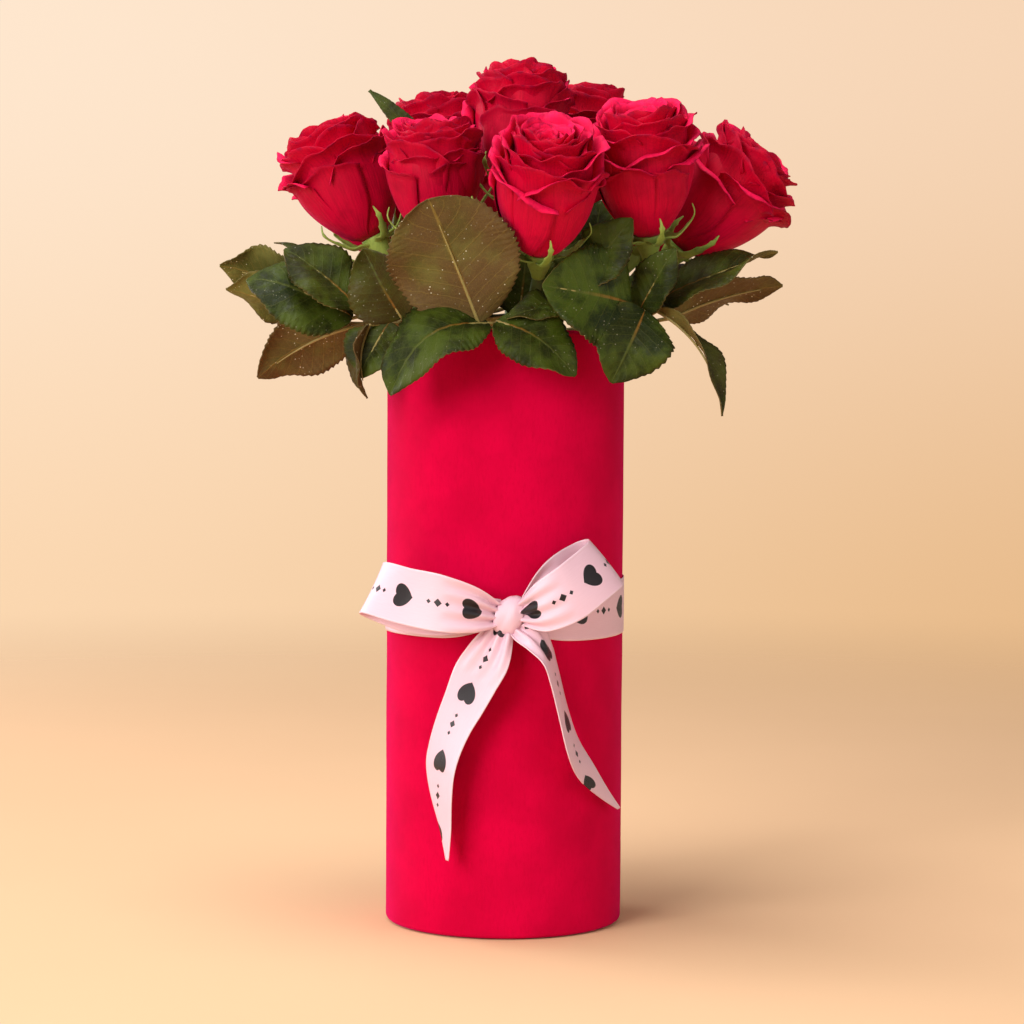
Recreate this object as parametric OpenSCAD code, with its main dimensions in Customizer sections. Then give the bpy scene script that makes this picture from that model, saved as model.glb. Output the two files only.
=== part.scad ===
// Velvet-covered round flower box holding a hand-tied dome of roses in floral foam.
// Origin: centre of the box's underside, +Z up, front of the bow facing -Y. Millimetres.

/* [Box] */
// Outside diameter of the covered box
box_d = 110; // [108:1:116]
// Height of the box
box_h = 275; // [262:1:320]
// Wall thickness of the cardboard tube
tube_wall = 2.2; // [1.6:0.1:2.4]
// Thickness of the velvet cover
velvet = 0.8; // [0.5:0.1:1]
// Corner radius of the cover at the rim and at the foot
corner_r = 2; // [1.25:0.25:2]
// How far the velvet turns in below the rim
hem_depth = 22; // [10:1:30]
// Thickness of the cardboard base
base_board_t = 3; // [2:0.5:4]

/* [Insert] */
// Wall thickness of the plastic liner
liner_wall = 0.8; // [0.6:0.1:1]
// Running gap between the liner and the hem
liner_gap = 0.7; // [0.5:0.1:1.5]
// Depth of the foam's top below the rim
foam_drop = 40; // [36:1:46]
// Depth that the stems are pushed into the foam
stem_depth = 65; // [40:1:80]

/* [Roses] */
// Diameter of a stem
stem_d = 5.2; // [4.4:0.1:5.4]
// Height of the green hip under a head
hip_h = 13; // [11:1:15]
// Diameter of the hip
hip_d = 13; // [11:1:14]
// Thickness of a leaf
leaf_t = 0.8; // [0.6:0.1:1]
// Diameter of a leaf's stalk
stalk_d = 1.8; // [1.4:0.1:2]

/* [Ribbon] */
// Width of the satin ribbon
ribbon_w = 25.4; // [20:0.1:26]
// Thickness of the ribbon
ribbon_t = 0.4; // [0.3:0.1:0.5]
// Height of the bow's knot above the base
ribbon_z = 148; // [120:1:180]

/* [Hidden] */
$fn = 96;
box_r = box_d / 2;
tube_r = box_r - velvet;
bore_r = tube_r - tube_wall;
inside_r = corner_r - velvet;
mouth_r = bore_r - velvet;
liner_r = mouth_r - liner_gap;
cover_r = 40;
lining_t = 0.4;
slip = 0.05;
round_n = 32;
floor_z = velvet + base_board_t;
foam_z = box_h - foam_drop;
knee_z = foam_z + 15;
foot_z = foam_z - stem_depth;
liner_top_z = foam_z + 10;
knee_share = 0.32;

// Each rose: seat of its head [x, y, height above the rim], way it leans, tilt, head length, head width
ROSES = [
    [[-61, -5, 43], 184, 28, 54, 52],
    [[-31, -38, 43], 240, 9, 50, 46],
    [[15, -52, 35], -83, 30, 60, 50],
    [[64, -30, 44], -105, 19, 58, 50],
    [[80, 2, 39], -8, 42, 58, 52],
    [[-27, 30, 53], 130, 13, 56, 48],
    [[5, -10, 62], 80, 4, 58, 46],
    [[32, 32, 57], 50, 10, 56, 48],
    [[-57, 50, 38], 140, 32, 54, 50],
    [[60, 48, 38], 38, 32, 54, 50],
    [[2, 62, 36], 92, 32, 54, 50]
];
ROSE_COUNT = len(ROSES);
function two(n) = n < 10 ? str("0", n) : str(n);
function rose_node(i, piece) = str("rose_", two(i + 1), "_", piece);

// Each leaf: its rose, how far up that rose's stem it grows, where its blade starts and ends
// [x, y, height above the rim], way its upper side faces, width, bow of the midrib toward that side
LEAVES = [
    [1, 0.70, [-70, -28, 5], [-118, -28, 22], [-0.1, -0.75, 0.65], 44, 0.12],
    [1, 0.80, [-68, -34, 10], [-101, -27, 36], [0.25, -0.8, 0.55], 32, 0.08],
    [1, 0.60, [-91, 2, 13], [-134, 10, 29], [0.1, 0.6, 0.7], 40, 0.05],
    [1, 0.50, [-86, -10, 3], [-130, -2, 18], [0, 0.5, 0.8], 40, 0.05],
    [1, 0.55, [-71, -14, 1], [-115, -4, -23], [0.1, 0.7, 0.65], 36, 0.1],
    [2, 0.70, [-47, -47, 5], [-64, -52, 36], [-0.3, -0.9, 0.1], 36, 0.02],
    [2, 0.60, [-62, -38, 2], [-62, -46, -31], [-0.8, -0.3, 0.4], 16, 0.12],
    [2, 0.50, [-52, -36, 3], [-65, -44, -22], [-0.4, -0.8, 0.4], 30, 0.1],
    [3, 0.60, [-12, -59, 3], [-34, -82, 57], [0.2, 1, 0], 58, 0.02],
    [3, 0.60, [-8, -58, 3], [-51, -67, -29], [-0.45, -0.7, 0.6], 42, 0.25],
    [3, 0.65, [-4, -58, 4], [31, -66, -20], [0.1, -0.75, 0.65], 34, 0.14],
    [3, 0.75, [30, -50, 9], [0, -61, 5], [-0.1, -0.6, 0.8], 18, 0.1],
    [4, 0.60, [56, -49, 12], [16, -66, 20], [0.1, -0.95, 0.25], 46, 0.05],
    [4, 0.55, [36, -46, 20], [56, -56, 50], [-0.5, -0.8, 0.3], 26, 0.06],
    [4, 0.55, [62, -49, 9], [47, -61, -23], [0.25, -0.9, 0.4], 36, 0.14],
    [4, 0.50, [60, -38, 8], [76, -50, 37], [-0.3, -0.9, 0.3], 22, 0.05],
    [5, 0.50, [65, -38, 11], [97, -50, -38], [0.85, -0.2, 0.5], 18, 0.14],
    [5, 0.62, [68, -28, 12], [123, -32, 36], [-0.35, -0.55, 0.75], 38, 0.04],
    [5, 0.50, [76, -10, 6], [128, -2, 21], [0.1, 0.5, 0.8], 32, 0.05],
    [6, 0.60, [-35, 4, 78], [-64, 2, 110], [-0.3, -0.6, 0.6], 10, 0.12],
    [7, 0.50, [-9, -9, 8], [-14, -13, 40], [-0.1, -0.9, 0.3], 26, 0.05],
    [7, 0.50, [28, -14, 8], [40, -18, 42], [0.1, -0.9, 0.3], 34, 0.05],
    [7, 0.60, [6, -20, 6], [10, -24, 46], [0.1, -0.95, 0.2], 30, 0.04],
    [8, 0.50, [38, 8, 20], [44, 4, 60], [-0.1, -0.95, 0.2], 34, 0.04]
];

// Leaves round the back of the dome: rose, share of its stem, heading, reach, height of the tip, width
BACK_LEAVES = [
    [9, 0.5, 150, 118, 24, 42],
    [9, 0.6, 122, 112, 8, 44],
    [6, 0.3, 168, 112, 40, 38],
    [11, 0.5, 104, 108, -14, 46],
    [11, 0.6, 84, 112, 20, 42],
    [8, 0.3, 66, 104, -6, 44],
    [10, 0.5, 52, 114, 22, 42],
    [10, 0.6, 32, 118, 30, 40],
    [7, 0.3, 10, 106, 12, 34]
];
// A back leaf written as a row of LEAVES
function back_leaf(row) =
    let (way = [cos(row[2]), sin(row[2]), 0], start = 66)
    [row[0], row[1], start * way + [0, 0, 6], row[3] * way + [0, 0, row[4]], [0, 0, 1] - 0.2 * way, row[5], 0.12];
ALL_LEAVES = concat(LEAVES, [for (row = BACK_LEAVES) back_leaf(row)]);

// ---- Vectors and curves ----

function unit(v) = v / norm(v);
function mix(a, b, t) = a + (b - a) * t;

// Points of an arc about c from angle a to angle b
function arc(c, r, a, b, n = 6) =
    [for (k = [0:n]) let (t = mix(a, b, k / n)) c + r * [cos(t), sin(t)]];

// One point of the smooth curve between p1 and p2 of a list
function spline_point(p0, p1, p2, p3, t) =
    0.5 * ((2 * p1) + (p2 - p0) * t + (2 * p0 - 5 * p1 + 4 * p2 - p3) * t * t
        + (3 * p1 - p0 - 3 * p2 + p3) * t * t * t);

// A list of stations with n - 1 more between each two
function smooth(list, n) =
    let (last = len(list) - 1)
    [for (k = [0:last * n])
        let (i = min(floor(k / n), last - 1), t = k / n - i)
        spline_point(list[max(i - 1, 0)], list[i], list[i + 1], list[min(i + 2, last)], t)];

// Closed solid through rings of equal size. Opposite sides are cut along matching diagonals,
// which keeps a thin twisted strip equally thick
module loft(rings) {
    m = len(rings[0]);
    last = len(rings) - 1;
    sides = [for (i = [0:last - 1], j = [0:m - 1])
        let (a = i * m + j, b = i * m + (j + 1) % m)
        each j < m / 2 ? [[a, b + m, b], [a, a + m, b + m]] : [[a, a + m, b], [b, a + m, b + m]]];
    start = [for (j = [0:m - 1]) j];
    end = [for (j = [m - 1:-1:0]) last * m + j];
    polyhedron([for (r = rings) each r], concat(sides, [start], [end]));
}

// ---- Box ----

// Rounded corners of the box's section, up the foot and over the rim
function foot_arc(r) = arc([box_r - corner_r, corner_r], r, -90, 0);
function rim_arc(r) = arc([box_r - corner_r, box_h - corner_r], r, 0, 90);

module box_tube() {
    section = concat([[bore_r, velvet]], foot_arc(inside_r), rim_arc(inside_r), [[bore_r, box_h - velvet]]);
    color("tan") rotate_extrude() polygon(section);
}

module base_board() {
    color("tan")
    translate([0, 0, velvet]) cylinder(r = bore_r, h = base_board_t);
}

module base_cover() {
    color("maroon") cylinder(r = cover_r - slip, h = velvet);
}

module inner_lining() {
    color("darkred")
    translate([0, 0, floor_z])
    difference() {
        cylinder(r = bore_r, h = box_h - hem_depth - floor_z);
        translate([0, 0, -1]) cylinder(r = bore_r - lining_t, h = box_h);
    }
}

// The cover's section: under the foot, up the outside, over the rim and down inside it
module velvet_wrap() {
    outside = concat([[cover_r, 0]], foot_arc(corner_r), rim_arc(corner_r));
    hem = [
        [mouth_r, box_h],
        [mouth_r, box_h - hem_depth],
        [bore_r, box_h - hem_depth],
        [bore_r, box_h - velvet]
    ];
    inside = concat(foot_arc(inside_r), rim_arc(inside_r));
    last = len(inside) - 1;
    color("crimson")
    rotate_extrude()
    polygon(concat(outside, hem, [for (k = [0:last]) inside[last - k]], [[cover_r, velvet]]));
}

// ---- Ribbon ----

// Stations of each ribbon piece: centre [x, y, height from the knot], way its width runs,
// and share of the full width that it opens to
LOOP_LEFT = [
    [[-2.8, -64, 0], [0.1, 0, 1], 0.42],
    [[-13, -71, 3], [0.05, 0, 1], 0.8],
    [[-28, -73, 6], [0.05, 0, 1], 1],
    [[-44, -66, 8.5], [0.2, 0, 1], 1],
    [[-57, -54, 11], [0.4, 0, 0.9], 1],
    [[-60, -46, 10], [0.42, 0, 0.9], 1],
    [[-55, -41, 7], [0.35, 0, 0.9], 1],
    [[-42, -48, 3], [0.15, 0, 1], 1],
    [[-25, -57, 1], [0.05, 0, 1], 0.85],
    [[-7, -60.5, 0], [0.1, 0, 1], 0.42]
];
LOOP_RIGHT = [
    [[7, -64, 1], [-0.2, 0, 1], 0.42],
    [[16, -71, 4], [-0.3, 0, 1], 0.85],
    [[28, -71, 10], [-0.45, 0, 0.9], 1],
    [[38, -63, 17], [-0.6, 0, 0.8], 1],
    [[45, -53, 22], [-0.62, 0, 0.78], 1],
    [[45, -45, 23], [-0.62, 0, 0.78], 1],
    [[39, -45, 21], [-0.6, 0, 0.8], 1],
    [[28, -54, 15], [-0.5, 0, 0.87], 1],
    [[17, -59, 8], [-0.3, 0, 1], 0.85],
    [[8.4, -60.5, 2], [-0.2, 0, 1], 0.42]
];
TAIL_LEFT = [
    [[-2, -63, -7], [1, -0.2, -0.3], 0.5],
    [[-7, -65, -18], [0.85, -0.45, -0.4], 0.85],
    [[-12.6, -63, -28], [0.75, -0.6, -0.35], 1],
    [[-18, -61, -40], [0.66, -0.7, -0.28], 1],
    [[-22.6, -59, -50], [0.6, -0.78, -0.2], 1],
    [[-26.5, -57.5, -61], [0.55, -0.82, -0.12], 1],
    [[-28.5, -57, -71], [0.5, -0.85, -0.08], 1],
    [[-28, -58, -83], [0.48, -0.87, -0.04], 0.8],
    [[-26, -60, -97], [0.46, -0.88, 0], 0.45],
    [[-25, -61, -111], [0.46, -0.88, 0], 0.1]
];
TAIL_RIGHT = [
    [[7.8, -63.4, -4.5], [0.8, 0.1, 0.6], 0.5],
    [[14, -64, -9], [0.5, 0.6, 0.5], 0.8],
    [[19.6, -63, -18], [0.35, 0.9, 0.2], 1],
    [[23, -61.5, -29], [0.3, 0.95, 0.1], 1],
    [[27, -60, -45], [0.32, 0.94, 0.1], 1],
    [[31.5, -57.5, -60], [0.34, 0.92, 0.12], 1],
    [[38, -50, -73], [0.4, 0.9, 0.15], 0.75],
    [[46, -39, -84], [0.45, 0.88, 0.15], 0.4],
    [[53, -30, -92], [0.5, 0.85, 0.15], 0.1]
];

// A strip of ribbon through its stations
module strip(stations, n = 2) {
    centres = smooth([for (s = stations) s[0]], n);
    ways = smooth([for (s = stations) unit(s[1])], n);
    shares = smooth([for (s = stations) s[2]], n);
    last = len(centres) - 1;
    rings = [for (i = [0:last])
        let (
            along = centres[min(i + 1, last)] - centres[max(i - 1, 0)],
            side = unit(ways[i]) * shares[i] * ribbon_w / 2,
            face = unit(cross(along, side)) * ribbon_t / 2
        )
        [for (p = [side + face, face - side, -side - face, side - face]) centres[i] + p]];
    color("pink") translate([0, 0, ribbon_z]) loft(rings);
}

module ribbon_band() {
    color("pink")
    translate([0, 0, ribbon_z - ribbon_w / 2])
    difference() {
        cylinder(r = box_r + slip + ribbon_t, h = ribbon_w);
        translate([0, 0, -1]) cylinder(r = box_r + slip, h = ribbon_w + 2);
    }
}

module ribbon_knot() {
    half = 7.5;
    belly = 5;
    end_r = 3.6;
    color("pink")
    translate([2, -box_r - ribbon_t - belly - 1, ribbon_z])
    rotate([0, 12, 0])
    rotate_extrude($fn = 48)
    polygon(concat([[0, -half]], [for (k = [-4:4]) [mix(belly, end_r, k * k / 16), half * k / 4]], [[0, half]]));
}

// ---- Insert ----

module liner_cup() {
    color("lightgray")
    translate([0, 0, floor_z])
    difference() {
        cylinder(r = liner_r, h = liner_top_z - floor_z);
        translate([0, 0, liner_wall]) cylinder(r = liner_r - liner_wall, h = box_h);
    }
}

module floral_foam() {
    color("darkolivegreen")
    difference() {
        translate([0, 0, floor_z + liner_wall])
            cylinder(r = liner_r - liner_wall - slip, h = foam_z - floor_z - liner_wall);
        for (i = [0:ROSE_COUNT - 1]) rod(foot_of(i), knee_of(i), stem_d / 2 + slip);
    }
}

// ---- Roses ----

function seat_of(i) = ROSES[i][0] + [0, 0, box_h];
function axis_of(i) =
    let (lean = ROSES[i][1], tilt = ROSES[i][2])
    [sin(tilt) * cos(lean), sin(tilt) * sin(lean), cos(tilt)];
function knee_of(i) = let (s = seat_of(i)) [s[0] * knee_share, s[1] * knee_share, knee_z];
function foot_of(i) = let (k = knee_of(i)) [k[0], k[1], foot_z];
function neck_of(i) = seat_of(i) - hip_h * axis_of(i);

// A straight round rod from a to b, of radius r1 at a and r2 at b
module taper(a, b, r1, r2) {
    v = b - a;
    translate(a)
    rotate([0, acos(v[2] / norm(v)), atan2(v[1], v[0])])
    cylinder(r1 = r1, r2 = r2, h = norm(v), $fn = round_n);
}
module rod(a, b, r) {
    taper(a, b, r, r);
}

// Moves a piece drawn on +Z to a rose's seat, along its axis
module at_seat(i) {
    translate(seat_of(i)) rotate([0, ROSES[i][2], ROSES[i][1]]) children();
}

// The stem stands upright in the foam, leans out from the knee and ends flat against the hip
module rose_stem(i) {
    knee = knee_of(i);
    neck = neck_of(i);
    past = neck + 3 * unit(neck - knee);
    color("olivedrab")
    difference() {
        union() {
            rod(foot_of(i), knee, stem_d / 2);
            translate(knee) sphere(d = stem_d + 0.6, $fn = 32);
            rod(knee, past, stem_d / 2);
        }
        at_seat(i) translate([-10, -10, -hip_h]) cube([20, 20, 20]);
    }
}

// The green hip and five sepals that stand away from the head
module rose_calyx(i) {
    hip = concat(
        [[0, -hip_h]],
        [for (k = [0:6]) let (t = k / 6)
            [mix(stem_d / 2 + 0.4, hip_d / 2, pow(sin(90 * t), 1.3)), -hip_h * (1 - t)]],
        [[0, 0]]
    );
    color("yellowgreen")
    at_seat(i) {
        rotate_extrude($fn = 48) polygon(hip);
        for (k = [0:4])
            let (wave = sin(137 * i + 97 * k))
            rotate([0, 0, 72 * k + 20 + 15 * wave])
            sepal([13.5 + wave, 0, -1 - wave], [22 - wave, 0, 9 - 3 * wave]);
    }
}

// A sepal leaves the top of the hip and bends up to a fine tip
module sepal(bend, tip) {
    root_r = 1.7;
    bend_r = 1.2;
    taper([hip_d / 4, 0, -4.5], bend, root_r, bend_r);
    translate(bend) sphere(r = bend_r + 0.4, $fn = 32);
    taper(bend, tip, bend_r, 0.4);
}

// The head's closed envelope: narrow on the hip, widest above the middle, softly domed
module rose_head(i) {
    l = ROSES[i][3];
    w = ROSES[i][4] / 2;
    side = [for (k = [0:9]) let (t = k / 10)
        [mix(hip_d / 2 - 0.5, w, pow(sin(90 * min(1, t / 0.62)), 0.85)) - 0.12 * w * max(0, t - 0.62) / 0.38, l * t]];
    crown = [for (k = [1:3]) [w * 0.9 * cos(30 * k), l * 0.9 + l * 0.1 * sin(30 * k)]];
    color("crimson")
    at_seat(i)
    rotate_extrude($fn = 64)
    polygon(concat([[0, 0]], side, crown));
}

// ---- Leaves ----

function leaves_of(i) = [for (row = ALL_LEAVES) if (row[0] == i + 1) row];

// Convex solid over a list of points
module over(points) {
    hull() polyhedron(points, [[for (j = [0:len(points) - 1]) j]]);
}

// A blade from start to end, its upper side toward facing, folded a little along the midrib
module blade(start, end, facing, width, bow, n) {
    fold = 10;
    chord = end - start;
    side = unit(cross(facing, chord));
    up = unit(cross(chord, side));
    rings = [for (k = [0:n])
        let (
            t = k / n,
            centre = start + t * chord + 4 * bow * t * (1 - t) * norm(chord) * up,
            slope = 4 * bow * (1 - 2 * t),
            normal = unit(up - slope * unit(chord)),
            half = max(0.8, width / 2 * pow(sin(180 * pow(t, 0.8)), 0.75)),
            out = half * cos(fold) * side,
            rise = half * sin(fold) * normal,
            thick = leaf_t * normal
        )
        [for (p = [centre + out + rise, centre, centre - out + rise]) each [p, p - thick]]];
    for (k = [0:n - 1], half = [0, 2])
        over([for (ring = [rings[k], rings[k + 1]], j = [half:half + 3]) ring[j]]);
}

// Leaves with their stalks, which run to the rose's stem
module rose_leaves(i) {
    rim = [0, 0, box_h];
    color("darkgreen")
    difference() {
        for (row = leaves_of(i)) {
            start = row[2] + rim;
            grow = mix(knee_of(i), neck_of(i), row[1]);
            rod(grow, start + 2 * unit(start - grow), stalk_d / 2);
            blade(start, row[3] + rim, row[4], row[5], row[6], 9);
        }
        rod(knee_of(i), neck_of(i), stem_d / 2);
    }
}

box_tube();
base_board();
base_cover();
inner_lining();
velvet_wrap();
ribbon_band();
ribbon_knot();
strip(LOOP_LEFT);  // bow_loop_left
strip(LOOP_RIGHT);  // bow_loop_right
strip(TAIL_LEFT);  // ribbon_tail_left
strip(TAIL_RIGHT);  // ribbon_tail_right
liner_cup();
floral_foam();
for (i = [0:ROSE_COUNT - 1]) {
    rose_stem(i);
    rose_calyx(i);
    rose_head(i);
    rose_leaves(i);
}
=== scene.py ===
import math
from collections import namedtuple

import bpy
import numpy as np
from mathutils import Matrix, Vector


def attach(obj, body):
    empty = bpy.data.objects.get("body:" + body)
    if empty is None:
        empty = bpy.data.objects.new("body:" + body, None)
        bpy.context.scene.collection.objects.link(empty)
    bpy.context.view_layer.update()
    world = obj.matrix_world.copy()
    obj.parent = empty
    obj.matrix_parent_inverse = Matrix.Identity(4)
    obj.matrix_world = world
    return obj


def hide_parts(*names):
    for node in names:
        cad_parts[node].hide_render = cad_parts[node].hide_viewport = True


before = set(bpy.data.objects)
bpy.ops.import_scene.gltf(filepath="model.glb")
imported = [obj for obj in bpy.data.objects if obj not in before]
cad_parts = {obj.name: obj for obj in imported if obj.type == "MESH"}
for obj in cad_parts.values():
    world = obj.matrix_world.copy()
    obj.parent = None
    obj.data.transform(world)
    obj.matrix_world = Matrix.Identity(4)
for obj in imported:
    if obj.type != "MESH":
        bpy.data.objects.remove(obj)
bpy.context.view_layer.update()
scene = bpy.context.scene
scene.view_settings.view_transform = "Standard"
MM = 0.001

# ---- Camera: from in front, turned a little down ----

PITCH = math.radians(3.62)
ROLL = math.radians(0.338)
DISTANCE = 1.43
AIM_X, AIM_HEIGHT = 0.0032, 0.1902
SENSOR_WIDTH, LENS = 36, 107.86

camera = bpy.data.objects.new("camera", bpy.data.cameras.new("camera"))
scene.collection.objects.link(camera)
camera.data.sensor_width = SENSOR_WIDTH
camera.data.lens = LENS
camera.location = (AIM_X, -DISTANCE * math.cos(PITCH), AIM_HEIGHT + DISTANCE * math.sin(PITCH))
camera.matrix_world = (
    Matrix.Translation(camera.location)
    @ Matrix.Rotation(math.pi / 2 - PITCH, 4, "X")
    @ Matrix.Rotation(ROLL, 4, "Z")
)
scene.camera = camera

# ---- Sizes shared with the CAD, in millimetres ----

# The box outside and inside, its rounded edges, and the velvet, which is turned in below the
# rim by the hem's depth and under the foot as far as the cover's radius
BOX_R = 55.0
BOX_H = 275.0
BORE_R = 52.0
CORNER_R = 2.0
VELVET = 0.8
HEM_DEPTH = 22.0
COVER_R = 40.0
# The ribbon and the height of its knot
RIBBON_W = 25.4
RIBBON_T = 0.4
RIBBON_Z = 148.0
# Roses: a stem stands upright up to its knee, whose place is a share of the way to the head
HIP_H = 13.0
HIP_D = 13.0
STEM_D = 5.2
KNEE_Z = -25.0
KNEE_SHARE = 0.32
RIM = np.array([0, 0, BOX_H])
UP = np.array([0, 0, 1])

# Seat of the head above the middle of the rim, heading it leans to, tilt, length and width
# of the head, and how far it has opened
Rose = namedtuple("Rose", "seat heading tilt length width openness")
ROSES = [
    Rose((-61, -5, 43), 184, 28, 54, 52, 0.75),
    Rose((-31, -38, 43), 240, 9, 50, 46, 0.15),
    Rose((15, -52, 35), -83, 30, 60, 50, 0.45),
    Rose((64, -30, 44), -105, 19, 58, 50, 0.7),
    Rose((80, 2, 39), -8, 42, 58, 52, 0.85),
    Rose((-27, 30, 53), 130, 13, 56, 48, 0.5),
    Rose((5, -10, 62), 80, 4, 58, 46, 0.3),
    Rose((32, 32, 57), 50, 10, 56, 48, 0.7),
    Rose((-57, 50, 38), 140, 32, 54, 50, 0.5),
    Rose((60, 48, 38), 38, 32, 54, 50, 0.5),
    Rose((2, 62, 36), 92, 32, 54, 50, 0.4),
]

# Number of its rose, share of the stem it grows from, start and end of the blade from the
# middle of the rim, way its upper side faces, width, bow as a share of its length, fold and
# twist in degrees, how brown and how rounded it is
Leaf = namedtuple(
    "Leaf", "rose share start end facing width bow fold twist brown rounded", defaults=[0]
)
LEAVES = [
    Leaf(1, 0.70, (-70, -28, 5), (-118, -28, 22), (-0.1, -0.75, 0.65), 44, 0.12, 8, 0, 0.1),
    Leaf(1, 0.80, (-68, -34, 10), (-101, -27, 36), (0.25, -0.8, 0.55), 32, 0.08, 14, 0, 0.2),
    Leaf(1, 0.60, (-91, 2, 13), (-134, 10, 29), (0.1, 0.6, 0.7), 40, 0.05, 8, 0, 0),
    Leaf(1, 0.50, (-86, -10, 3), (-130, -2, 18), (0, 0.5, 0.8), 40, 0.05, 10, 0, 0),
    Leaf(1, 0.55, (-71, -14, 1), (-115, -4, -23), (0.1, 0.7, 0.65), 36, 0.1, 10, 0, 0.8),
    Leaf(2, 0.70, (-47, -47, 5), (-64, -52, 36), (-0.3, -0.9, 0.1), 36, 0.02, 28, 0, 0.7),
    Leaf(2, 0.60, (-62, -38, 2), (-62, -46, -31), (-0.8, -0.3, 0.4), 16, 0.12, 35, 30, 0.9),
    Leaf(2, 0.50, (-52, -36, 3), (-65, -44, -22), (-0.4, -0.8, 0.4), 30, 0.1, 12, 0, 0.2),
    Leaf(3, 0.60, (-12, -59, 3), (-34, -82, 57), (0.2, 1, 0), 58, 0.02, 6, 0, 0.9, 1),
    Leaf(3, 0.60, (-8, -58, 3), (-51, -67, -29), (-0.45, -0.7, 0.6), 42, 0.25, 12, 0, 0.1),
    Leaf(3, 0.65, (-4, -58, 4), (31, -66, -20), (0.1, -0.75, 0.65), 34, 0.14, 10, 0, 0.1),
    Leaf(3, 0.75, (30, -50, 9), (0, -61, 5), (-0.1, -0.6, 0.8), 18, 0.1, 16, 0, 0.2),
    Leaf(4, 0.60, (56, -49, 12), (16, -66, 20), (0.1, -0.95, 0.25), 46, 0.05, 12, 0, 0),
    Leaf(4, 0.55, (36, -46, 20), (56, -56, 50), (-0.5, -0.8, 0.3), 26, 0.06, 16, 30, 0.1),
    Leaf(4, 0.55, (62, -49, 9), (47, -61, -23), (0.25, -0.9, 0.4), 36, 0.14, 12, 0, 0.1),
    Leaf(4, 0.50, (60, -38, 8), (76, -50, 37), (-0.3, -0.9, 0.3), 22, 0.05, 16, 0, 0.1),
    Leaf(5, 0.50, (65, -38, 11), (97, -50, -38), (0.85, -0.2, 0.5), 18, 0.14, 30, 20, 0.5),
    Leaf(5, 0.62, (68, -28, 12), (123, -32, 36), (-0.35, -0.55, 0.75), 38, 0.04, 12, -50, 0.3),
    Leaf(5, 0.50, (76, -10, 6), (128, -2, 21), (0.1, 0.5, 0.8), 32, 0.05, 12, 0, 0.9),
    Leaf(6, 0.60, (-35, 4, 78), (-64, 2, 110), (-0.3, -0.6, 0.6), 10, 0.12, 20, 0, 0.2),
    Leaf(7, 0.50, (-9, -9, 8), (-14, -13, 40), (-0.1, -0.9, 0.3), 26, 0.05, 10, 0, 0.3),
    Leaf(7, 0.50, (28, -14, 8), (40, -18, 42), (0.1, -0.9, 0.3), 34, 0.05, 10, 0, 0.3),
    Leaf(7, 0.60, (6, -20, 6), (10, -24, 46), (0.1, -0.95, 0.2), 30, 0.04, 10, 0, 0.2),
    Leaf(8, 0.50, (38, 8, 20), (44, 4, 60), (-0.1, -0.95, 0.2), 34, 0.04, 10, 0, 0.2),
]

# Leaves round the back: number of the rose, share of its stem, heading, reach from the axis,
# height of the tip, width
BACK_LEAVES = [
    (9, 0.5, 150, 118, 24, 42),
    (9, 0.6, 122, 112, 8, 44),
    (6, 0.3, 168, 112, 40, 38),
    (11, 0.5, 104, 108, -14, 46),
    (11, 0.6, 84, 112, 20, 42),
    (8, 0.3, 66, 104, -6, 44),
    (10, 0.5, 52, 114, 22, 42),
    (10, 0.6, 32, 118, 30, 40),
    (7, 0.3, 10, 106, 12, 34),
]


# Radius and height where their blades start, and what they have in common
BACK_START, BACK_START_Z = 66, 6
BACK_BLADE = dict(bow=0.12, fold=12, twist=10, brown=0.2)


def back_leaf(rose, share, heading, reach, tip_z, width):
    """A leaf that spreads straight out from the axis."""
    way = np.array([math.cos(math.radians(heading)), math.sin(math.radians(heading)), 0])
    start = BACK_START * way + BACK_START_Z * UP
    end = reach * way + tip_z * UP
    return Leaf(rose, share, start, end, UP - 0.2 * way, width, **BACK_BLADE)


ALL_LEAVES = LEAVES + [back_leaf(*row) for row in BACK_LEAVES]


# ---- Mesh building ----


def unit(v):
    """The vectors at length 1."""
    v = np.asarray(v, float)
    return v / np.maximum(np.linalg.norm(v, axis=-1, keepdims=True), 1e-9)


def smooth(points, n):
    """Catmull-Rom through the points, n steps between each two."""
    p = np.asarray(points, float)
    last = len(p) - 1
    out = []
    for k in range(last * n + 1):
        i = min(k // n, last - 1)
        t = k / n - i
        a, b, c, d = p[max(i - 1, 0)], p[i], p[i + 1], p[min(i + 2, last)]
        square, cube = 2 * a - 5 * b + 4 * c - d, 3 * b - a - 3 * c + d
        out.append(0.5 * (2 * b + (c - a) * t + square * t * t + cube * t**3))
    return np.array(out)


# How far the ends of a tube are drawn out, as a share of its radius
CAP_RISE = 0.3


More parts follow.
